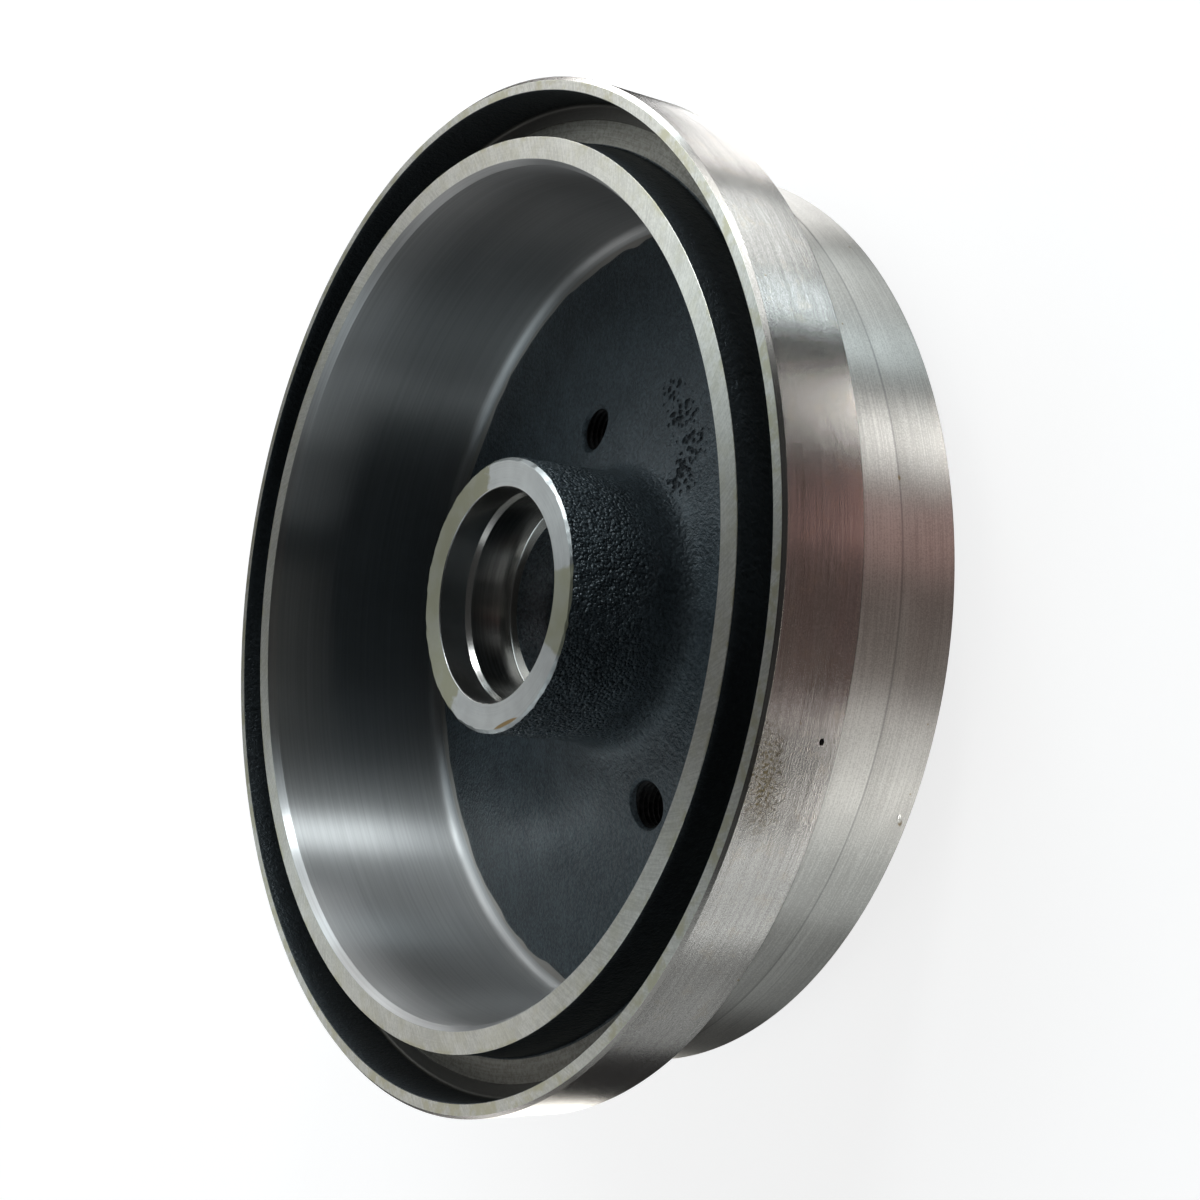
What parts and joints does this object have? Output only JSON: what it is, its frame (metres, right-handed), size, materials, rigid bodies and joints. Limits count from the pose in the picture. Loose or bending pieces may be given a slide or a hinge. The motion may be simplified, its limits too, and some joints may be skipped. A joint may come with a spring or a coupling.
{
  "type": "brake drum",
  "caption": "Rear brake drum with an integral hub: turned friction bore, dust groove, skirt, stepped bearing bores, wheel pilot and tapped wheel-bolt holes.",
  "frame": {"origin": "on the drum's axis at the end of the wheel pilot, which is the lowest point as it stands", "axes": "+Z along the drum's axis, out of the open mouth; +X halfway between two bolt holes"},
  "size_m": [0.24, 0.24, 0.068],
  "materials": {
    "cast_iron": "turned bright on the machined faces, black paint on the cast ones"
  },
  "bodies": {
    "root": {"brake_drum": "cast_iron"}
  },
  "joints": []
}
